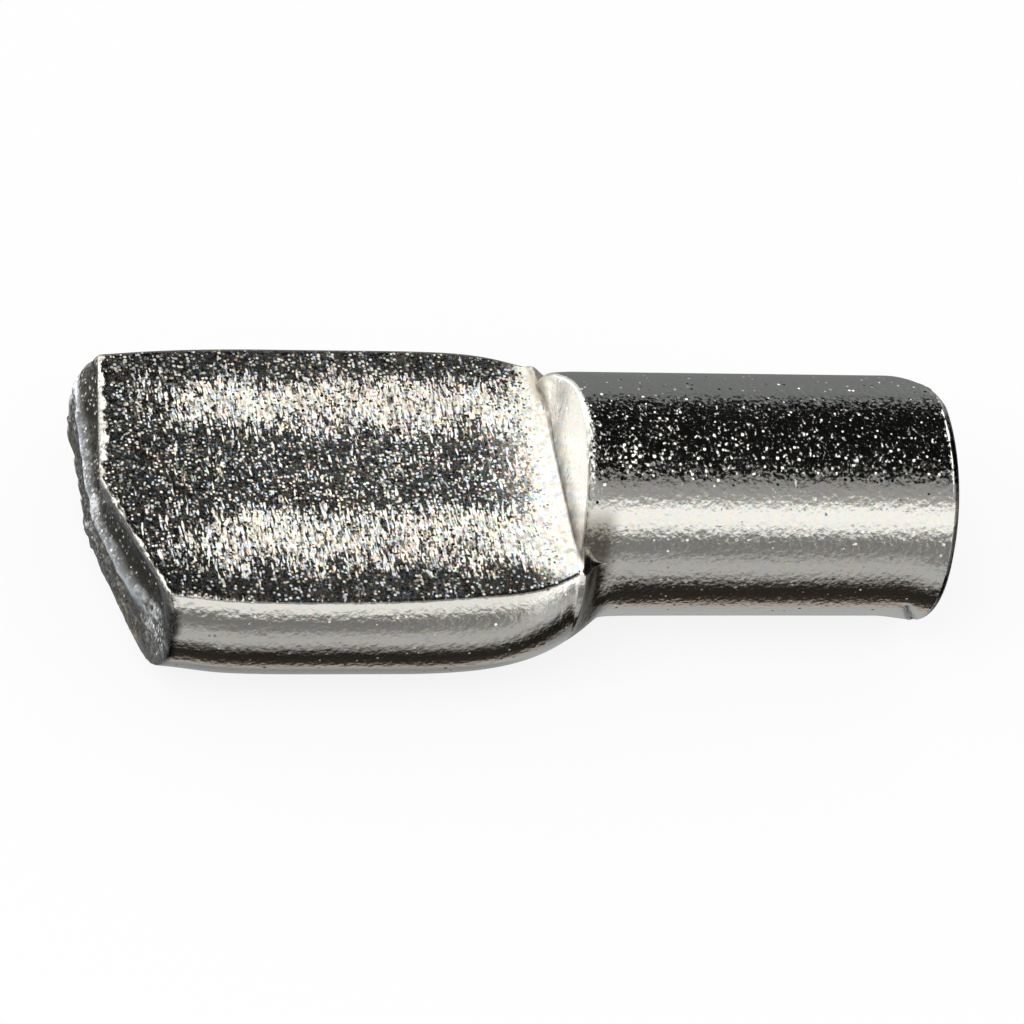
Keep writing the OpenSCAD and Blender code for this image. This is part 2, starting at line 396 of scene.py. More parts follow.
def head_half(x, side):
    """(y, z) of one side's columns of the pressed section at x. side is 1 for +Y."""
    direction = 0.2
    front = float(side < 0)
    for _ in range(ROUNDS):
        r = float(formed_r(x, direction, front))
        crease_z = float(face_z(x, side * r * math.cos(direction)))
        direction = math.asin(min(1.0, crease_z / r))
    crease_y = r * math.cos(direction)
    inner_y = crease_y - CREASE_R
    share = np.arange(FACE_COLS) / FACE_COLS
    from_upright = share * (math.pi / 2 - math.atan2(crease_z, inner_y))
    even = crease_z * np.tan(from_upright)
    lean = COLUMN_LEAN * float(past(x, *COLUMN_LEAN_FROM))
    y_face = inner_y * share * (1 - lean) + even * lean
    low_dir = direction - CREASE_R / r
    low_r = float(formed_r(x, low_dir, front))
    a = np.array([inner_y, float(face_z(x, side * inner_y))])
    b = np.array([crease_y, crease_z])
    c = low_r * np.array([math.cos(low_dir), math.sin(low_dir)])
    t = (np.arange(CREASE_COLS) / CREASE_COLS)[:, None]
    crease = a * (1 - t)**2 + 2 * b * t * (1 - t) + c * t**2
    dirs = np.linspace(low_dir, -math.pi / 2, LOWER_COLS + 1)
    r_low = formed_r(x, dirs, front)
    y = np.concatenate([y_face, crease[:, 0], r_low * np.cos(dirs)])
    z = np.concatenate([face_z(x, side * y_face), crease[:, 1], r_low * np.sin(dirs)])
    return side * y, z


def head_ring(x):
    right, left = head_half(x, 1), head_half(x, -1)
    return mirror_half(right[0], left[0]), mirror_half(right[1], left[1])


def settled_x(x, y, z):
    """Near the free end each station is drawn to the skewed cut."""
    pull = smooth(1.0 - (x + PADDLE_L) / SETTLE_L)
    return x + (cut_x(y, z) + PADDLE_L) * pull


def shaft_r(x, direction):
    """Radius past the step: the round wire with the shoulder's hump run out on it."""
    front = front_share(direction)
    hump = formed_r(x, folded(direction), front, between(LEDGE_BLEND, front)) - wire_r_at(x)
    return wire_r_at(x) + np.maximum(hump, 0.0)


def fold_share(x, direction):
    """How much a point is in the fold by the burr."""
    turn = FOLD_DIR - wrap(direction)
    fold_x = INSERT_L - FOLD_PLACE[0] - FOLD_PLACE[1] * turn
    return bell(x, fold_x, FOLD_HALF_W) * past(turn, *FOLD_ON) * (1 - past(turn, *FOLD_OFF))


def tip_r(x, direction):
    """Radius near the cut tip: the blade's draw, and the burr and its fold opposite."""
    turn = np.cos(direction - (math.pi / 2 - DRAW_SIDE))
    draw_r = (DRAW_L**2 + DRAW_DEPTH**2) / (2 * DRAW_DEPTH)
    into = np.clip(x - (INSERT_L - DRAW_L), 0.0, None)
    drawn = draw_r - np.sqrt(draw_r**2 - into**2) - DRAW_SHIFT * (1.0 - turn)
    burr = BURR_H * past(x, INSERT_L - BURR_L, BURR_L) * past(-turn, *BURR_FROM)
    return WIRE_R - np.maximum(drawn, 0.0) + burr - FOLD_DEPTH * fold_share(x, direction)


# ---- The skin ----
face_share = np.concatenate([np.ones(FACE_COLS), 1 - np.arange(CREASE_COLS) / CREASE_COLS,
                             np.zeros(LOWER_COLS + 1)])
FACE_MASK = mirror_half(face_share, face_share)


def link(thing):
    bpy.context.scene.collection.objects.link(thing)
    return thing


class Rings:
    """The skin's rings of points, and the share of each zone at them."""

    def __init__(self):
        self.points = []
        self.zones = []

    def add(self, x, y, z, **zones):
        self.points.append(np.stack(np.broadcast_arrays(x, y, z), axis=-1).astype(float))
        self.zones.append({name: np.broadcast_to(v, y.shape) for name, v in zones.items()})

    def add_round(self, x, r, dirs, **zones):
        self.add(x, r * np.cos(dirs), r * np.sin(dirs), **zones)


def crowded(t, crowding):
    return t + crowding * math.sin(2 * math.pi * t) / math.pi


def add_free_end(rings):
    """Rings across the cut, then round its edge. Gives that edge's rounding."""
    y0, z0 = head_ring(-PADDLE_L)
    mid_z = (BEARING_Z - WIRE_R) / 2
    size = np.hypot(y0, z0 - mid_z)
    beads = 0.5 + relief(np.stack([y0, z0, y0 * 0 + 3.0], axis=-1), END_BEADS_PER_MM, 3)
    edge = END_EDGE * between(END_BEADS, np.clip(beads, 0.0, 1.0))
    edge = edge * (1 + END_BACK_EDGE * smooth(y0 + 0.5))
    for k in range(1, CAP_RINGS + 1):
        share = k / CAP_RINGS
        s = share * (1 - edge / size)
        y, z = y0 * s, mid_z + (z0 - mid_z) * s
        x = cut_x(y, z) + cut_relief(y, z) * smooth(RELIEF_FADE * (1 - share))
        # the ridge zone is a painted highlight line just above the cut's ridge
        # the valley zone is where the cut's valley is painted dark as shade
        shine_up, shine_w = RIDGE_SHINE
        rings.add(x, y, z, cut=1.0, ridge=cut_ridge(y, z + shine_up, shine_w),
                  valley=cut_valley(y, z), rim=past(k, CAP_RINGS - RIM_RINGS, RIM_RINGS))
    for turn in CAP_EDGE_TURNS:
        s = 1 - edge * (1 - math.sin(turn)) / size
        y, z = y0 * s, mid_z + (z0 - mid_z) * s
        x = cut_x(y, z) + edge * (1 - math.cos(turn))
        rings.add(x, y, z, cut=math.cos(turn), rim=1.0)
    return edge


def add_paddle(rings, edge):
    first = -PADDLE_L + END_EDGE
    length, power = FOOT_ZONE
    for k in range(1, PADDLE_RINGS + 1):
        x = first + (SWEEP_END - first) * crowded(k / PADDLE_RINGS, CROWDING[0])
        y, z = head_ring(x)
        pull = (foot_x(y) - SWEEP_END) * past(x, *PULL_FROM) * past(z, *PULL_UP_FROM)
        x = settled_x(x, y, z) + edge * smooth(1 - (x + PADDLE_L)) + pull
        near_foot = smooth(1 - (foot_x(y) - x) / length)**power
        rings.add(x, y, z, face=FACE_MASK, foot=FACE_MASK * near_foot)


def add_step(rings):
    """From the sweep's end up the wall and over its edge. Gives its columns and its end."""
    y1, z1 = head_ring(SWEEP_END)
    dirs = np.arctan2(z1, y1)
    turn = np.degrees(dirs) % 360
    r_low = np.hypot(y1, z1)
    top = step_top(turn)
    r_high = shaft_r(np.maximum(top, 0.0), dirs)
    rise = np.maximum(r_high - r_low, 0.0)
    tall = smooth(rise / STEP_TALL)
    foot = rings.points[-1][:, 0]
    edge_r = between(STEP_EDGE_R, past(turn, *STEP_EDGE_TURN))
    fillet = between(STEP_FILLET, past(-y1, *STEP_FILLET_TURN))
    fillet_x = fillet + (foot_x(y1) - foot) * tall
    scale = np.clip(rise / (edge_r + fillet), 0.0, 1.0)
    corner_h = between(CORNER_H, past(y1, *CORNER_TURN))
    fillet_end, wall_end = STEP_PARTS
    for k in range(1, STEP_RINGS + 1):
        t = k / STEP_RINGS
        if t <= fillet_end:
            phi = t / fillet_end * math.pi / 2
            wall_x = foot + fillet_x * math.sin(phi)
            r = r_low + fillet * scale * (1 - math.cos(phi))
        elif t <= wall_end:
            s = (t - fillet_end) / (wall_end - fillet_end)
            wall_x = (foot + fillet_x) * (1 - s) + top * s
            r = (r_low + fillet * scale) * (1 - s) + (r_high - edge_r * scale) * s
        else:
            phi = (t - wall_end) / (1 - wall_end) * math.pi / 2
            wall_x = top + edge_r * (1 - math.cos(phi))
            r = r_high - edge_r * scale * (1 - math.sin(phi))
        # where there is no wall the rings run straight on
        flat_x = foot + (top + edge_r - foot) * t
        x = wall_x * tall + flat_x * (1 - tall)
        over = smooth(t)
        behind = flat_x - (foot - SWEEP_END) * (1 - t)
        r_flat = np.where(rise > 0, r_low + rise * over,
                          formed_r(behind, folded(dirs), front_share(dirs)))
        r_flat = r_flat * (1 - over) + shaft_r(x, dirs) * over
        r = r * tall + r_flat * (1 - tall)
        low = smooth(1 - (r * np.sin(dirs) - z1) / corner_h)
        left = FACE_MASK * max(0.0, 1 - t / fillet_end)
        # corner and brow mark painted shade, at the wall's foot and along its -Y top edge; wall
        # marks the wall's painted highlight
        rings.add_round(x, r, dirs, face=left, foot=left,
                        corner=tall * past(t, *CORNER_ON) * low,
                        brow=tall * bell(t, *BROW) * past(turn, *BROW_TURN),
                        wall=tall * past(t, *WALL_ON) * (1 - past(t, *WALL_OFF)))
    return dirs, top + edge_r


def add_insert(rings, dirs, start):
    """The insert's wall, its burr line, and its rounded rim and end."""
    even = np.linspace(math.pi / 2, -math.pi / 2, HALF_COLS + 1)
    even = mirror_half(even, math.pi - even)
    dirs = np.where(np.arange(len(dirs)) > HALF_COLS, dirs % (2 * math.pi), dirs)
    dirs[0] = math.pi / 2
    end = INSERT_L - TIP_EDGE[0]
    for k in range(1, INSERT_RINGS + 1):
        x = start + (end - TIP_LINE_L - start) * crowded(k / INSERT_RINGS, CROWDING[1])
        mix = float(past(x[0], *COLUMNS_EVEN_FROM))
        d = dirs * (1 - mix) + even * mix
        r = shaft_r(x, wrap(d)) + tip_r(x, d) - WIRE_R
        # the brow zone here is painted shade in the fold by the burr
        rings.add_round(x, r, d, brow=fold_share(x, d))
    on_wire = np.stack([np.cos(even), np.sin(even), even * 0], axis=-1) * WIRE_R
    mean, varies, pitch = TIP_LINE_VARIES
    line_h = TIP_LINE[0] * np.clip(mean + varies * relief(on_wire, pitch, 3), *TIP_LINE_LIMITS)
    for offset in TIP_LINE_RINGS:
        x = end + TIP_LINE[1] * offset
        rings.add_round(x, tip_r(x, even) + line_h * (1 - abs(offset)), even)
    for turn in TIP_EDGE_TURNS:
        x = end + TIP_EDGE[0] * math.sin(turn)
        r = tip_r(x, even) - TIP_EDGE[1] * (1 - math.cos(turn))
        rings.add_round(x, r, even, cut=smooth(math.sin(turn)**4))
    rim = tip_r(INSERT_L, even) - TIP_EDGE[1]
    for k in range(1, TIP_RINGS):
        rings.add_round(INSERT_L, rim * (1 - k / TIP_RINGS), even, cut=1.0)


def skin_mesh():
    rings = Rings()
    edge = add_free_end(rings)
    add_paddle(rings, edge)
    dirs, start = add_step(rings)
    add_insert(rings, dirs, start)

    count, cols = len(rings.points), len(rings.points[0])
    middles = [rings.points[0].mean(axis=0)[None], np.array([[INSERT_L, 0.0, 0.0]])]
    points = np.concatenate(rings.points + middles)
    here = np.arange(cols)
    beside = (here + 1) % cols
    row = np.arange(count - 1)[:, None] * cols
    a, b = (row + here).ravel(), (row + beside).ravel()
    quads = np.stack([a, a + cols, b + cols, b], axis=-1)
    n = count * cols
    start_fan = np.stack([np.full(cols, n), here, beside], axis=-1)
    end_fan = np.stack([np.full(cols, n + 1), n - cols + beside, n - cols + here], axis=-1)
    mesh = bpy.data.meshes.new("pin_skin")
    faces = quads.tolist() + start_fan.tolist() + end_fan.tolist()
    mesh.from_pydata((points * MM).tolist(), [], faces)
    for name in ZONES:
        values = [zones.get(name, np.zeros(cols)) for zones in rings.zones]
        values.append(np.full(len(middles), float(name == "cut")))
        layer = mesh.attributes.new(name, "FLOAT", "POINT")
        layer.data.foreach_set("value", np.concatenate(values).astype(np.float32))
    mesh.validate()
    mesh.shade_smooth()
    return mesh


pin = link(bpy.data.objects.new("pin_skin", skin_mesh()))
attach(pin, "root")
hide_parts("shelf_pin")

# ---- Camera, at the photograph's angle ----
CAMERA_AIM = Vector((-0.795, -0.144, -0.423)) * MM
CAMERA_FAR = 123.24 * MM
CAMERA_AZIMUTH = math.radians(-23.745)
CAMERA_ELEVATION = math.radians(46.48)
CAMERA_ROLL = math.radians(18.02)
CAMERA_LENS = 211.4


def add_camera():
    turn, up = CAMERA_AZIMUTH, CAMERA_ELEVATION
    back = Vector((math.sin(turn) * math.cos(up), -math.cos(turn) * math.cos(up), math.sin(up)))
    right = Vector((math.cos(turn), math.sin(turn), 0.0))
    right.rotate(Matrix.Rotation(CAMERA_ROLL, 3, back))
    data = bpy.data.cameras.new("camera")
    data.lens = CAMERA_LENS
    data.clip_start = 1 * MM
    data.clip_end = 10.0
    camera = link(bpy.data.objects.new("camera", data))
    pose = Matrix((right, back.cross(right), back)).transposed().to_4x4()
    pose.translation = CAMERA_AIM + back * CAMERA_FAR
    camera.matrix_world = pose
    bpy.context.scene.camera = camera


add_camera()


# ---- Plated steel ----
class Graph:
    """Short hand for the nodes of a material or of the world."""

    def __init__(self, owner):
        self.owner = owner
        owner.use_nodes = True
        self.tree = owner.node_tree
        self.tree.nodes.clear()

    def node(self, kind, _out=0, _set=None, **sockets):
        """Adds a node and gives one output. i3 feeds the input number 3, a name that input."""
        node = self.tree.nodes.new(kind)
        for key, value in (_set or {}).items():
            setattr(node, key, value)
        for key, value in sockets.items():
            index = int(key[1:]) if key[0] == "i" and key[1:].isdigit() else key.replace("_", " ")
            self.feed(node.inputs[index], value)
        return node.outputs[_out]

    def feed(self, socket, value):
        if isinstance(value, bpy.types.NodeSocket):
            self.tree.links.new(value, socket)
        else:
            socket.default_value = value

    def math(self, operation, a, b=0.0, clamp=False):
        return self.node("ShaderNodeMath", _set={"operation": operation, "use_clamp": clamp},
                         i0=a, i1=b)

    def chain(self, operation, first, *others):
        for other in others:
            first = self.math(operation, first, other)
        return first

    def times(self, *values):
        return self.chain("MULTIPLY", *values)

    def plus(self, *values):
        return self.chain("ADD", *values)

    def most(self, *values):
        return self.chain("MAXIMUM", *values)

    def minus(self, a, b):
        return self.math("SUBTRACT", a, b)

    def vec(self, operation, a, b=(0.0, 0.0, 0.0)):
        return self.node("ShaderNodeVectorMath", 0, {"operation": operation}, i0=a, i1=b)

    def scaled(self, vector, scale):
        return self.node("ShaderNodeVectorMath", 0, {"operation": "SCALE"}, i0=vector, Scale=scale)

    def ramp(self, value, low, high, to_low=0.0, to_high=1.0):
        return self.node("ShaderNodeMapRange", _set={"interpolation_type": "SMOOTHSTEP"},
                         Value=value, From_Min=low, From_Max=high, To_Min=to_low,
                         To_Max=to_high)

    def blend(self, share, at_0, at_1):
        return self.ramp(share, 0.0, 1.0, at_0, at_1)

    def noise(self, vector, scale, detail=2.0, out=0):
        return self.node("ShaderNodeTexNoise", out, Vector=vector, Scale=scale, Detail=detail)

    def cells(self, vector, scale, out="Color"):
        return self.node("ShaderNodeTexVoronoi", out, Vector=vector, Scale=scale)

    def mix(self, factor, a, b):
        """a and b are outputs, or red, green and blue."""
        a, b = ((*v, 1.0) if isinstance(v, tuple) else v for v in (a, b))
        return self.node("ShaderNodeMix", 2, {"data_type": "RGBA"}, i0=factor, i6=a, i7=b)

    def split(self, vector):
        node = self.tree.nodes.new("ShaderNodeSeparateXYZ")
        self.feed(node.inputs[0], vector)
        return node.outputs

    def combine(self, x, y, z):
        return self.node("ShaderNodeCombineXYZ", X=x, Y=y, Z=z)

    def attribute(self, name, out="Fac"):
        return self.node("ShaderNodeAttribute", out, {"attribute_name": name})

    def finish(self, shader, output="ShaderNodeOutputMaterial"):
        self.tree.links.new(shader, self.tree.nodes.new(output).inputs["Surface"])
        return self.owner


# A lean is what is added to the surface's normal.
GRAIN = 13.0  # grains per millimetre in the plating
STEEP_SHIFT = (9.1, 4.3, 2.7)  # place of the second layer of grains, the steep ones
TINT_SHIFT = (3.7, 1.9, 5.3)  # and of the grains' tints
DOME = (0.55, 0.2)  # a grain's dome, from its border inwards
STEEP_DOME = (0.55, 0.3)
SETTLED_TILT = (0.06, 0.48)  # spread of most grains' lean: round parts, struck face
SETTLED_ALONG = (-9.0, -1.0, 0.7, 1.3)  # it grows along X, from, to, by
SETTLED_ACROSS = (2.3, 3.1, 1.0, 0.6)  # and is less at the long edges
CUT_TILT = 0.7  # added on the cut ends
STEEP_TILT = (0.9, 0.95)  # lean of the few steep grains: round parts, face
STEEP_SHARP = 12.0
STEEP_FACE = -0.02  # on the face the grains above this level are the steep ones
STEEP_WIRE = (0.45, 0.20)  # the same on the wire, on its sides and along its top
STEEP_WALL = 0.4  # and on the step's wall
STEEP_CUT = 0.05  # the level is lower by this on the cuts
STEEP_BACK = (0.5, 0.8, 0.0, 0.17)  # and at the wire's back, along Y from, to, by
CALM = {"marks": 0.4, "ridge": 0.7, "foot": 0.8}  # how far each calms the grain

UNEVEN = (0.10, 0.70)  # fine unevenness: on the wire's sides, and along its top
UNEVEN_NOISE = (13.0, 3.0)
UNEVEN_WIRE = (0.2, 0.45)  # it starts past the step
UNEVEN_CUT = {"torn": 1.1, "valley": 0.6, "ridge": 0.15, "crystals": 0.7}
UNEVEN_HOLLOW = 0.4
PEEL = (8.0, 3.0)  # orange peel: waves per millimetre, and detail
PEEL_HEIGHT = 1.1e-5  # in metres
PEEL_FACE = 0.3  # share of it on the face

STREAK = (25.0, 5.5, 1.0)  # die marks on the face: per millimetre along X and along Y
STREAK_TILT = (0.22, -0.19)  # spread of the marks' lean, and its mean
STREAK_GAP = (0.42, 0.6)  # from a mark's middle outwards
STREAK_SHARP = 5.0
GAP_LOSS = 0.4  # share of the lean that is lost in the gaps
WANDER = (1.1, 0.9)  # the bands of marks wander: waves per millimetre, and how far
SLANT = 0.25
BANDS = ((-2.5, -1.0, 0.86), (-0.7, 0.9, 0.12), (1.25, 2.5, 1.0))  # from, to, and how dense
BAND_EDGES = (0.5, 0.4)  # each comes in and goes out over this much either way
BANDS_ALONG = (-9.4, -6.3)  # they come in from the free end
STEP_TILT = -0.085  # lean of the sweep's grains, near the step
FOOT_TILT = -0.11  # the sweep's last lean, at the step's foot
FOOT_MARKS = 0.4  # share of the marks' lean there
RIDGE_LEAN, RIM_LEAN = 0.50, 0.5  # the cut's ridge and its back rim lean up to the light

# Boxes in millimetres: each side as an axis, and where the box begins and is full.
# "band" is y, wandering as the bands of marks do.
BOXES = {
    "wire_top": (("y", -1.55, -1.2), ("y", 0.7, 0.35)),
    "near_step": (("x", -2.1, -0.6), ("band", 2.2, 1.0), ("band", -2.9, -2.4)),
    # painted shade: the ledge behind the step at +Y
    "behind": (("y", 1.6, 2.2), ("z", 0.2, 0.5), ("x", -0.25, -0.12), ("x", 0.4, 0.1)),
    # painted shade: the hollow past the step at -Y, where the shoulder runs into the wire
    "hollow_shade": (("y", -1.7, -2.2), ("z", -1.6, -0.9), ("x", -0.1, 0.1), ("x", 0.8, 0.4)),
    "free_end": (("x", -1.0, -2.0),),
    "insert": (("x", -2.0, -1.0),),
    "crystals": (("y", -2.0, -2.6), ("z", -1.9, -1.3)),
    # a painted highlight along the cut's rim on the +Y side
    "back_rim_highlight": (("z", 0.1, -0.3), ("y", 0.8, 1.6)),
    # a painted highlight along the cut's edge at the bearing face
    "face_rim_highlight": (("z", 0.2, 0.45),),
    # a painted dark line of shade along the cut's rim beside its bowl
    "bowl_rim_shade": (("y", -1.5, -2.3), ("z", 0.45, 0.2), ("z", -2.0, -1.6)),
    "rust": (("z", -1.3, -1.9), ("y", -0.9, -1.6)),
    # painted shade: a strip round the insert's tip rim
    "tip_rim_shade": (("x", INSERT_L - 0.12, INSERT_L - 0.09), ("y", 0.8, 0.2)),
    # painted shade: the paddle's upper sides
    "side": (("z", 0.0, 0.6), ("x", -0.3, -1.0)),
    # painted shade: a band along the paddle's underside
    "under_shade": (("z", -1.02, -1.22), ("x", -0.4, -1.6)),
}
# Patches: waves per millimetre, detail, the levels at which a patch begins and is full,
# and the shares outside and inside it where these aren't 0 and 1.
PATCHES = {
    "clouds": (1.4, 3.0, 0.35, 0.65, 0.55, 1.45),
    "back_rim_highlight": (5.0, 3.0, 0.40, 0.52),
    "cut": (4.0, 5.0, 0.50, 0.60),
    "crystals": (7.0, 3.0, 0.42, 0.58),
    "beads": (4.5, 3.0, 0.47, 0.55),
    "rust": (2.5, 2.0, 0.45, 0.6),
    "corner": (2.5, 2.0, 0.2, 0.6, 0.4),
    "brow": (5.0, 2.0, 0.62, 0.42, 0.3),
}

PLATING = (0.77, 0.765, 0.75)
COOL_GRAIN, WARM_GRAIN = (0.45, 0.66, 0.98), (1.0, 0.72, 0.45)
PINK_GRAIN, GREEN_GRAIN = (0.98, 0.62, 0.80), (0.62, 0.92, 0.60)
TINT_LEVELS = (0.3, 0.7)  # from the cool to the warm ones, and from the pink to the green
PAIR_LEVELS = (0.45, 0.8)  # from the first of these pairs to the second
TINTED = (0.12, 0.55)  # share of tint: round parts, face
DIM_ALONG = (-9.0, -6.0, -2.2, -1.2)  # along X: the dim grains are darker at the free end
LONG_EDGES = (2.1, 2.9)
OLIVE = 0.8  # waves of the olive cast per millimetre
PATCHY = (0.7, 0.25)  # share of the cut's patches on it, and in its valley
BEADS_ALONG = (0.2, -0.8, 0.40, 0.97)  # along Y: the rim's beads are stronger towards -Y
# The underside's painted shade is weaker towards the very bottom.
UNDER_FADE = (-2.2, -1.7, 0.35)
# Coats of colour over the grains, in this order: cover and colour. Several of them are painted
# shade or painted highlights, as marked.
COATS = {
    "gaps": (0.5, (0.36, 0.28, 0.20)),
    "dim_grains": (1.0, (0.16, 0.17, 0.16)),
    "long_edges": (0.3, (0.12, 0.115, 0.10)),
    "olive": (0.3, (0.72, 0.71, 0.62)),
    "sheared": (0.8, (0.085, 0.088, 0.09)),
    "tip": (0.8, (0.62, 0.60, 0.56)),
    "cut_grains": (0.5, (0.75, 0.75, 0.72)),
    "cut_patches": (1.0, (0.62, 0.66, 0.70)),
    # painted highlight: a pale line along the cut's rim on the +Y side
    "back_rim_highlight": (0.3, (0.92, 0.95, 0.97)),
    # painted highlight: a pale bluish line along the cut's ridge
    "ridge": (1.0, (0.80, 0.88, 1.0)),
    "crystals": (1.0, (0.92, 0.94, 0.97)),
    # painted shade: near black in the cut's valley, its steep grains left out
    "valley": (0.9, (0.035, 0.03, 0.022)),
    # painted highlight: a pale cream line along the cut's edge at the bearing face
    "face_rim_highlight": (0.9, (0.96, 0.93, 0.87)),
    "beads": (1.0, (0.16, 0.14, 0.12)),
    # painted shade: a black line along the cut's rim beside its bowl, towards -Y
    "bowl_rim_shade": (0.9, (0.03, 0.027, 0.024)),
    "rust": (1.0, (0.95, 0.72, 0.45)),
    # painted highlight: the step's wall is made near white, lighter than the plating
    "wall": (1.0, (0.93, 0.93, 0.92)),
    # painted shade: dark brown along the foot of the step's wall
    "corner": (0.85, (0.17, 0.15, 0.125)),
    # painted shade: brownish grey on the ledge behind the step at +Y
    "behind": (0.85, (0.62, 0.58, 0.51)),
    # painted shade: dark brown in the hollow where the shoulder runs into the wire at -Y
    "hollow_shade": (0.8, (0.15, 0.125, 0.09)),
    # painted shade: a dark strip round the insert's tip rim, towards -Y
    "tip_rim_shade": (0.9, (0.08, 0.07, 0.06)),
    # painted shade: a dark line along the step's -Y top edge and in the fold by the burr
    "brow": (1.0, (0.10, 0.09, 0.08)),
    # painted shade: the paddle's upper sides are darkened to dim their highlight
    "side": (0.35, (0.38, 0.37, 0.34)),
    # painted shade: a darker band along the paddle's underside
    "under_shade": (0.7, (0.26, 0.24, 0.22)),
}
ROUGH_WIRE = 0.13
ROUGH_FACE = (-9.0, -4.0, 0.17, 0.21)  # along X, from, to, by
ROUGH_NOISE = (3.0, 0.08)
ROUGH_ADDED = {"cut": 0.03, "corner": 0.22, "behind": 0.35, "hollow_shade": 0.08}


class Plating:
    """What the parts of the plating share: place, zones, grains, marks and boxes."""

    def __init__(self, g):
        self.g = g
        self.place = g.scaled(g.node("ShaderNodeTexCoord", "Object"), 1 / MM)
        self.axes = dict(zip("xyz", g.split(self.place)))
        self.wander = g.times(g.minus(g.noise(self.place, WANDER[0]), 0.5), WANDER[1])
        self.axes["band"] = g.plus(self.axes["y"], self.wander)
        for name in ZONES:
            setattr(self, name, g.attribute(name))
        self.wire_top, self.behind, self.hollow_shade = map(self.box, ("wire_top", "behind", "hollow_shade"))
        self.end = g.times(self.cut, self.box("free_end"))
        self.crystals = g.times(self.end, self.box("crystals"))
        self.back_rim_highlight = g.times(self.rim, self.box("back_rim_highlight"), self.patches("back_rim_highlight"))
        self.way, self.dome = self.grains(self.place, DOME)
        steep_at = g.vec("ADD", self.place, STEEP_SHIFT)
        self.steep_way, steep_dome = self.grains(steep_at, STEEP_DOME)
        self.steep = g.times(self.steep_share(), steep_dome)
        self.add_marks()

    def box(self, name):
        return self.g.times(*[self.g.ramp(self.axes[axis], begins, full)
                              for axis, begins, full in BOXES[name]])

    def patches(self, name):
        scale, detail, *levels = PATCHES[name]
        return self.g.ramp(self.g.noise(self.place, scale, detail), *levels)

    def off_face(self):
        return self.g.ramp(self.face, 1.0, 0.0)

    def grains(self, at, dome):
        """Each grain's own way to lean, and its dome."""
        g = self.g
        way = g.vec("SUBTRACT", g.cells(at, GRAIN), (0.5, 0.5, 0.5))
        return way, g.ramp(g.cells(at, GRAIN, "Distance"), *dome)

    def steep_share(self):
        """1 for the few grains that lean steeply."""
        g = self.g
        level = g.blend(self.face, g.blend(self.wire_top, *STEEP_WIRE), STEEP_FACE)
        level = g.most(level, g.times(self.wall, STEEP_WALL))
        level = g.minus(level, g.times(self.cut, STEEP_CUT))
        level = g.minus(level, g.ramp(g.minus(self.axes["y"], self.face), *STEEP_BACK))
        above = g.minus(g.split(self.steep_way)[2], level)
        return g.math("MULTIPLY", above, STEEP_SHARP, clamp=True)

    def add_marks(self):
        """Die marks across the struck face, in broad bands."""
        g = self.g
        slanted = g.combine(g.plus(self.axes["x"], g.times(self.wander, SLANT)),
                            self.axes["y"], 0.0)
        marks_at = g.vec("MULTIPLY", slanted, STREAK)
        self.mark, there, _ = g.split(g.cells(marks_at, 1.0))
        self.gap = g.ramp(g.cells(marks_at, 1.0, "Distance"), *STREAK_GAP)
        along = self.axes["band"]
        begin, end = BAND_EDGES
        bands = [g.times(g.ramp(along, low - begin, low + begin, 0.0, density),
                         g.ramp(along, high + end, high - end))
                 for low, high, density in BANDS]
        self.band = g.times(g.plus(*bands), g.ramp(self.axes["x"], *BANDS_ALONG), self.face)
        # each mark is there or not, and fewer are towards a band's borders
        marked = g.times(g.minus(self.band, there), STREAK_SHARP)
        marked = g.math("ADD", marked, 0.5, clamp=True)
        self.marked = g.times(marked, g.minus(1.0, g.times(self.gap, GAP_LOSS)))


def grain_lean(s):
    """Small domes of the plating, each leaning its own way, a few of them steeply."""
    g = s.g
    settled = g.times(g.blend(s.face, *SETTLED_TILT), g.ramp(s.axes["x"], *SETTLED_ALONG),
                      g.ramp(g.math("ABSOLUTE", s.axes["y"]), *SETTLED_ACROSS))
    settled = g.plus(settled, g.times(s.cut, CUT_TILT))
    settled = g.times(settled, g.blend(s.face, 1.0, s.patches("clouds")))
    steep = g.times(s.steep, g.blend(s.face, *STEEP_TILT))
    grain = g.vec("ADD", g.scaled(s.way, g.times(settled, s.dome)),
                  g.scaled(s.steep_way, steep))
    calm = g.most(g.times(s.marked, CALM["marks"]), g.times(s.ridge, CALM["ridge"]),
                  g.times(s.foot, CALM["foot"]))
    return g.scaled(grain, g.minus(1.0, calm))


def uneven_lean(s):
    """Fine unevenness, strongest along the top of the wire and on the torn cut."""
    g = s.g
    on_wire = g.times(g.blend(s.wire_top, *UNEVEN), g.ramp(s.axes["x"], *UNEVEN_WIRE))
    on_cut = g.blend(s.valley, UNEVEN_CUT["torn"], UNEVEN_CUT["valley"])
    on_cut = g.times(s.cut, g.blend(s.ridge, on_cut, UNEVEN_CUT["ridge"]))
    on_cut = g.plus(on_cut, g.times(s.crystals, UNEVEN_CUT["crystals"]))
    amount = g.most(on_wire, g.times(s.hollow_shade, UNEVEN_HOLLOW), on_cut)
    uneven = g.vec("SUBTRACT", g.noise(s.place, *UNEVEN_NOISE, "Color"), (0.5, 0.5, 0.5))
    return g.scaled(uneven, g.times(s.off_face(), amount))


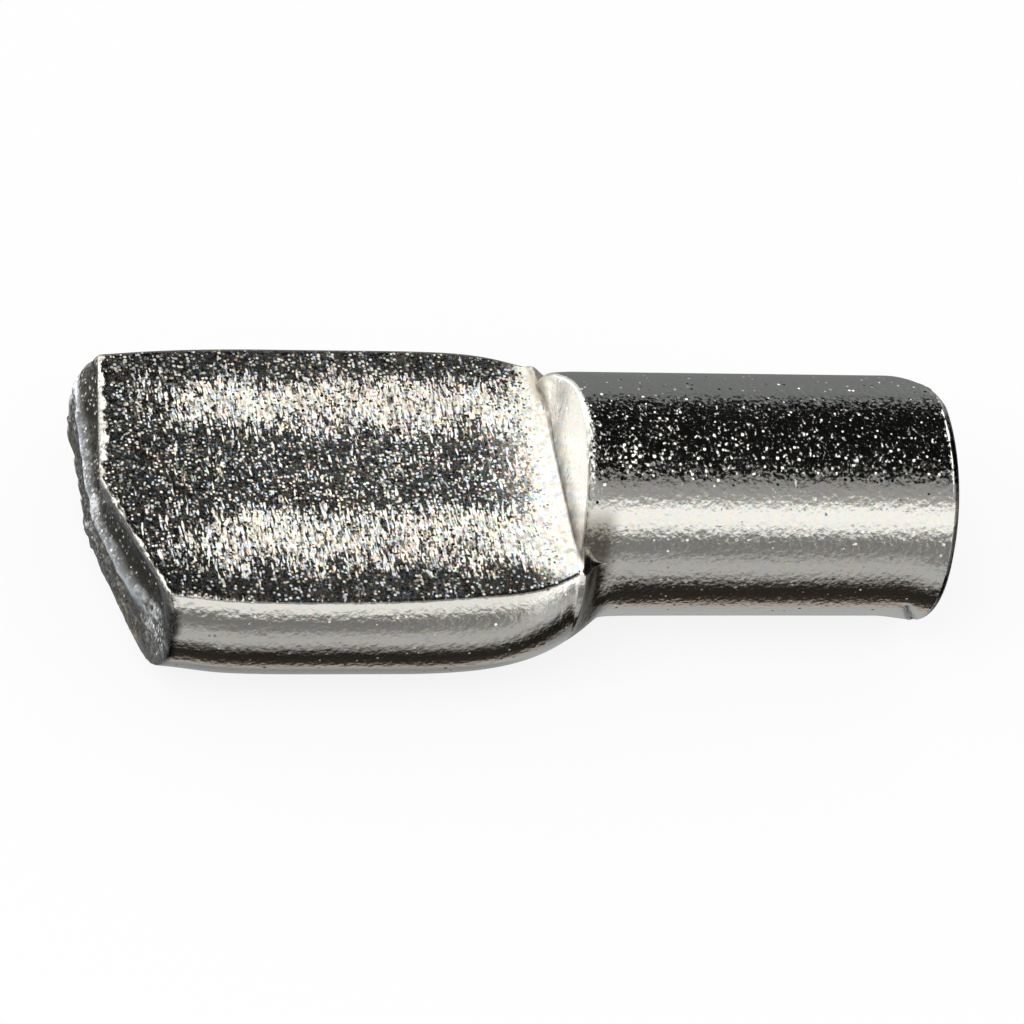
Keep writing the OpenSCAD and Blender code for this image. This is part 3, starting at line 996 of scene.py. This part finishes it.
def struck_lean(s):
    """The lean of the die marks, of the sweep near the step, and of the cut's bright lines."""
    g = s.g
    lean = g.plus(g.times(g.minus(s.mark, 0.5), STREAK_TILT[0]), STREAK_TILT[1])
    lean = g.times(lean, s.marked, g.blend(s.foot, 1.0, FOOT_MARKS))
    lean = g.plus(lean, g.times(s.foot, FOOT_TILT),
                  g.times(s.box("near_step"), s.face, STEP_TILT))
    lit = g.plus(g.times(s.ridge, RIDGE_LEAN), g.times(s.back_rim_highlight, RIM_LEAN))
    return g.combine(lean, 0.0, lit)


def orange_peel(s):
    g = s.g
    height = g.times(g.noise(s.place, *PEEL), g.blend(s.face, 1.0, PEEL_FACE))
    return g.node("ShaderNodeBump", Strength=1.0, Distance=PEEL_HEIGHT, Height=height)


def grain_colour(s):
    """The plating, where each grain is a little cool, warm, pink or green."""
    g = s.g
    first, second, pair = g.split(g.cells(g.vec("ADD", s.place, TINT_SHIFT), GRAIN))
    cool_or_warm = g.mix(g.ramp(first, *TINT_LEVELS), COOL_GRAIN, WARM_GRAIN)
    pink_or_green = g.mix(g.ramp(second, *TINT_LEVELS), PINK_GRAIN, GREEN_GRAIN)
    tint = g.mix(g.ramp(pair, *PAIR_LEVELS), cool_or_warm, pink_or_green)
    return g.mix(g.blend(s.face, *TINTED), PLATING, tint)


def coat_places(s):
    """Where each coat of colour is: its share before its cover."""
    g = s.g
    x, y, z = (s.axes[axis] for axis in "xyz")
    dim = g.times(g.split(s.steep_way)[0], g.ramp(x, *DIM_ALONG))
    face_rim_highlight = g.times(s.rim, s.box("face_rim_highlight"))
    return {
        "gaps": g.times(s.band, s.gap),
        "dim_grains": g.math("MULTIPLY", dim, s.face, clamp=True),
        "long_edges": g.times(g.ramp(g.math("ABSOLUTE", y), *LONG_EDGES), s.face),
        "olive": g.noise(s.place, OLIVE),
        "sheared": s.end,
        "tip": g.times(s.cut, s.box("insert")),
        "cut_grains": g.times(s.end, s.steep),
        "cut_patches": g.times(s.end, s.patches("cut"), g.blend(s.valley, *PATCHY)),
        "back_rim_highlight": s.back_rim_highlight,
        "ridge": s.ridge,
        "crystals": g.times(s.crystals, s.patches("crystals")),
        "valley": g.times(s.valley, g.minus(1.0, s.steep)),
        "face_rim_highlight": face_rim_highlight,
        "beads": g.times(face_rim_highlight, s.patches("beads"), g.ramp(y, *BEADS_ALONG)),
        "bowl_rim_shade": g.times(s.rim, s.box("bowl_rim_shade")),
        "rust": g.times(s.end, s.patches("rust"), s.box("rust")),
        "wall": s.wall,
        "corner": g.times(s.corner, s.patches("corner")),
        "behind": s.behind,
        "hollow_shade": s.hollow_shade,
        "tip_rim_shade": g.times(s.box("tip_rim_shade"), g.minus(1.0, s.cut)),
        "brow": g.times(s.brow, s.patches("brow")),
        "side": g.times(s.box("side"), s.off_face()),
        "under_shade": g.times(s.box("under_shade"), g.ramp(z, *UNDER_FADE)),
    }


def roughness(s, corner):
    g = s.g
    rough = g.blend(s.face, ROUGH_WIRE, g.ramp(s.axes["x"], *ROUGH_FACE))
    varied = g.times(g.minus(g.noise(s.place, ROUGH_NOISE[0]), 0.5), ROUGH_NOISE[1])
    places = {"cut": s.cut, "corner": corner, "behind": s.behind, "hollow_shade": s.hollow_shade}
    return g.plus(rough, varied, *[g.times(places[name], added)
                                   for name, added in ROUGH_ADDED.items()])


def plated_steel():
    g = Graph(bpy.data.materials.new("plated_steel"))
    s = Plating(g)
    lean = g.vec("ADD", grain_lean(s), uneven_lean(s))
    normal = g.vec("ADD", g.vec("ADD", orange_peel(s), lean), struck_lean(s))
    colour = grain_colour(s)
    places = coat_places(s)
    for name, (cover, coat) in COATS.items():
        colour = g.mix(g.times(places[name], cover), colour, coat)
    shader = g.node("ShaderNodeBsdfPrincipled", Base_Color=colour, Metallic=1.0,
                    Roughness=roughness(s, places["corner"]), Normal=g.vec("NORMALIZE", normal))
    return g.finish(shader)


pin.data.materials.append(plated_steel())

# ---- Studio ----
# In metres. The light tent is only seen in the metal's reflections.
FLOOR_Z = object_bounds()[0].z
FLOOR_HALF = 0.4
FLOOR_WHITE = 0.85  # share of the floor that shows as plain white to the camera
PAPER = (0.95, 0.95, 0.95, 1.0)
WHITE = (1, 1, 1, 1)
SEEN_BY = ("Is Camera Ray", "Is Glossy Ray", "Is Transmission Ray")
WORLD_LEVEL = 0.75  # light of the surround on the object
LAMP_PLACE = (-0.25, -0.15, 0.35)
LAMP_SIZE = 0.25
LAMP_LEVEL = 4.0  # its brightness seen face on

TENT_R = 0.5
TENT_FACES = (96, 180)  # along X, and round it
# Brightness round the tent: degrees from the front horizon up and over to straight down.
TENT_BANDS = ((-90, 0.48), (-80, 0.44), (-73, 0.03), (-46, 0.015), (-38, 0.3), (-30, 0.54),
              (-18, 0.50), (-8, 0.24), (8, 0.20), (17, 1.14), (36, 1.22), (43, 0.40),
              (60, 0.33), (67, 0.003), (147, 0.003), (154, 0.2), (228, 0.22), (240, 0.45),
              (270, 0.48))
WARM, COOL, BROWN = (1.0, 0.99, 0.945), (0.96, 1.0, 0.99), (1.2, 1.0, 0.85)
TENT_TINTS = ((-90, COOL), (-78, BROWN), (-50, BROWN), (-36, WARM), (62, WARM), (75, COOL),
              (270, COOL))
# Placed by the direction's shares of X, Y and Z: where each begins, where it is full, and
# how much it takes away.
KEY_LEVEL = 1.8  # the bright key side
KEY_X = (0.13, 0.01)
KEY_Y = (-0.67, -0.41)
KEY_Z = (-0.70, -0.15)
KEY_END = (-0.6, -0.9, 0.6)  # it dims again along X
KEY_BACK = (0.78, 0.95, 0.55)  # and along Y
FLAG = (0.76, 0.95, 0.4)  # a dark flag at the insert's end, along X
FLAG_LOW = (0.36, 0.74, 0.55)  # and a nearer one, below the horizon
FLAG_LOW_Z = (-0.25, -0.5)
DIM_X = (0.1, -0.1)  # the free end's side is dimmed below the key
DIM_ANGLE = (185, 215, 0.3)  # in degrees round the tent
GLOW_LEVEL = 0.75  # a soft light on the insert's side
GLOW_X = (0.62, 0.14)  # its middle and width
GLOW_Z = (0.1, 0.25)


def fade(value, begins, full, amount=1.0):
    """0 before it begins and the amount where it is full, whichever way round they are."""
    return float(smooth((value - begins) / (full - begins))) * amount


def tent_glow(direction):
    x, y, z = direction
    angle = math.degrees(math.atan2(z, -y))
    if angle < -90:
        angle += 360
    tint = np.array([looked_up([(at, tint[i]) for at, tint in TENT_TINTS], angle)
                     for i in range(3)])
    flag = max(fade(x, *FLAG), fade(x, *FLAG_LOW) * fade(z, *FLAG_LOW_Z))
    dim = fade(x, *DIM_X) * fade(angle, *DIM_ANGLE)
    glow = looked_up(TENT_BANDS, angle) + GLOW_LEVEL * bell(x, *GLOW_X) * bell(z, *GLOW_Z)
    glow = glow * tint * (1 - flag) * (1 - dim)
    key = fade(x, *KEY_X) * fade(y, *KEY_Y) * fade(z, *KEY_Z)
    level = KEY_LEVEL * (1 - fade(x, *KEY_END)) * (1 - fade(y, *KEY_BACK))
    return glow * (1 - key) + level * key * np.array(WARM)


def add_tent():
    across, around = TENT_FACES
    points, glows = [], []
    for x in np.sin(np.linspace(-math.pi / 2, math.pi / 2, across + 1)):
        flat = math.sqrt(max(0.0, 1 - x * x))
        for k in range(around):
            a = 2 * math.pi * k / around
            direction = Vector((x, flat * math.cos(a), flat * math.sin(a)))
            points.append(direction * TENT_R)
            glows.append((*tent_glow(direction), 1.0))
    faces = [(i * around + k, i * around + (k + 1) % around,
              (i + 1) * around + (k + 1) % around, (i + 1) * around + k)
             for i in range(across) for k in range(around)]
    mesh = bpy.data.meshes.new("light_tent")
    mesh.from_pydata(points, [], faces)
    layer = mesh.attributes.new("glow", "FLOAT_COLOR", "POINT")
    layer.data.foreach_set("color", np.array(glows, dtype=np.float32).ravel())
    tent = link(bpy.data.objects.new("light_tent", mesh))
    g = Graph(bpy.data.materials.new("tent_glow"))
    glow = g.node("ShaderNodeEmission", Color=g.attribute("glow", "Color"), Strength=1.0)
    mesh.materials.append(g.finish(glow))
    for kind in ("camera", "diffuse", "shadow", "transmission"):
        setattr(tent, f"visible_{kind}", False)


def add_floor():
    corners = ((-1, -1), (1, -1), (1, 1), (-1, 1))
    mesh = bpy.data.meshes.new("floor")
    mesh.from_pydata([(x * FLOOR_HALF, y * FLOOR_HALF, FLOOR_Z) for x, y in corners], [],
                     [(0, 1, 2, 3)])
    floor = link(bpy.data.objects.new("floor", mesh))
    g = Graph(bpy.data.materials.new("floor"))
    paper = g.node("ShaderNodeBsdfDiffuse", Color=PAPER)
    white = g.node("ShaderNodeEmission", Color=WHITE, Strength=1.0)
    seen = g.most(*[g.node("ShaderNodeLightPath", rays) for rays in SEEN_BY])
    shader = g.node("ShaderNodeMixShader", i0=g.times(seen, FLOOR_WHITE), i1=paper, i2=white)
    mesh.materials.append(g.finish(shader))
    floor.visible_glossy = False


def add_lamp():
    """A soft square lamp aimed at the pin."""
    data = bpy.data.lights.new("key", "AREA")
    data.shape = "SQUARE"
    data.size = LAMP_SIZE
    data.energy = LAMP_LEVEL * math.pi * LAMP_SIZE * LAMP_SIZE
    lamp = link(bpy.data.objects.new("key", data))
    lamp.location = LAMP_PLACE
    lamp.rotation_euler = Vector(LAMP_PLACE).to_track_quat("Z", "Y").to_euler()
    lamp.visible_camera = False
    lamp.visible_glossy = False


def add_world():
    """A surround that is plain white where it is seen, and lights the object a little less."""
    g = Graph(bpy.data.worlds.new("studio"))
    seen = g.most(*[g.node("ShaderNodeLightPath", rays) for rays in SEEN_BY])
    strength = g.node("ShaderNodeMapRange", Value=seen, To_Min=WORLD_LEVEL)
    back = g.node("ShaderNodeBackground", Color=WHITE, Strength=strength)
    bpy.context.scene.world = g.finish(back, "ShaderNodeOutputWorld")


add_tent()
add_floor()
add_world()
add_lamp()
bpy.context.scene.view_settings.view_transform = "Standard"
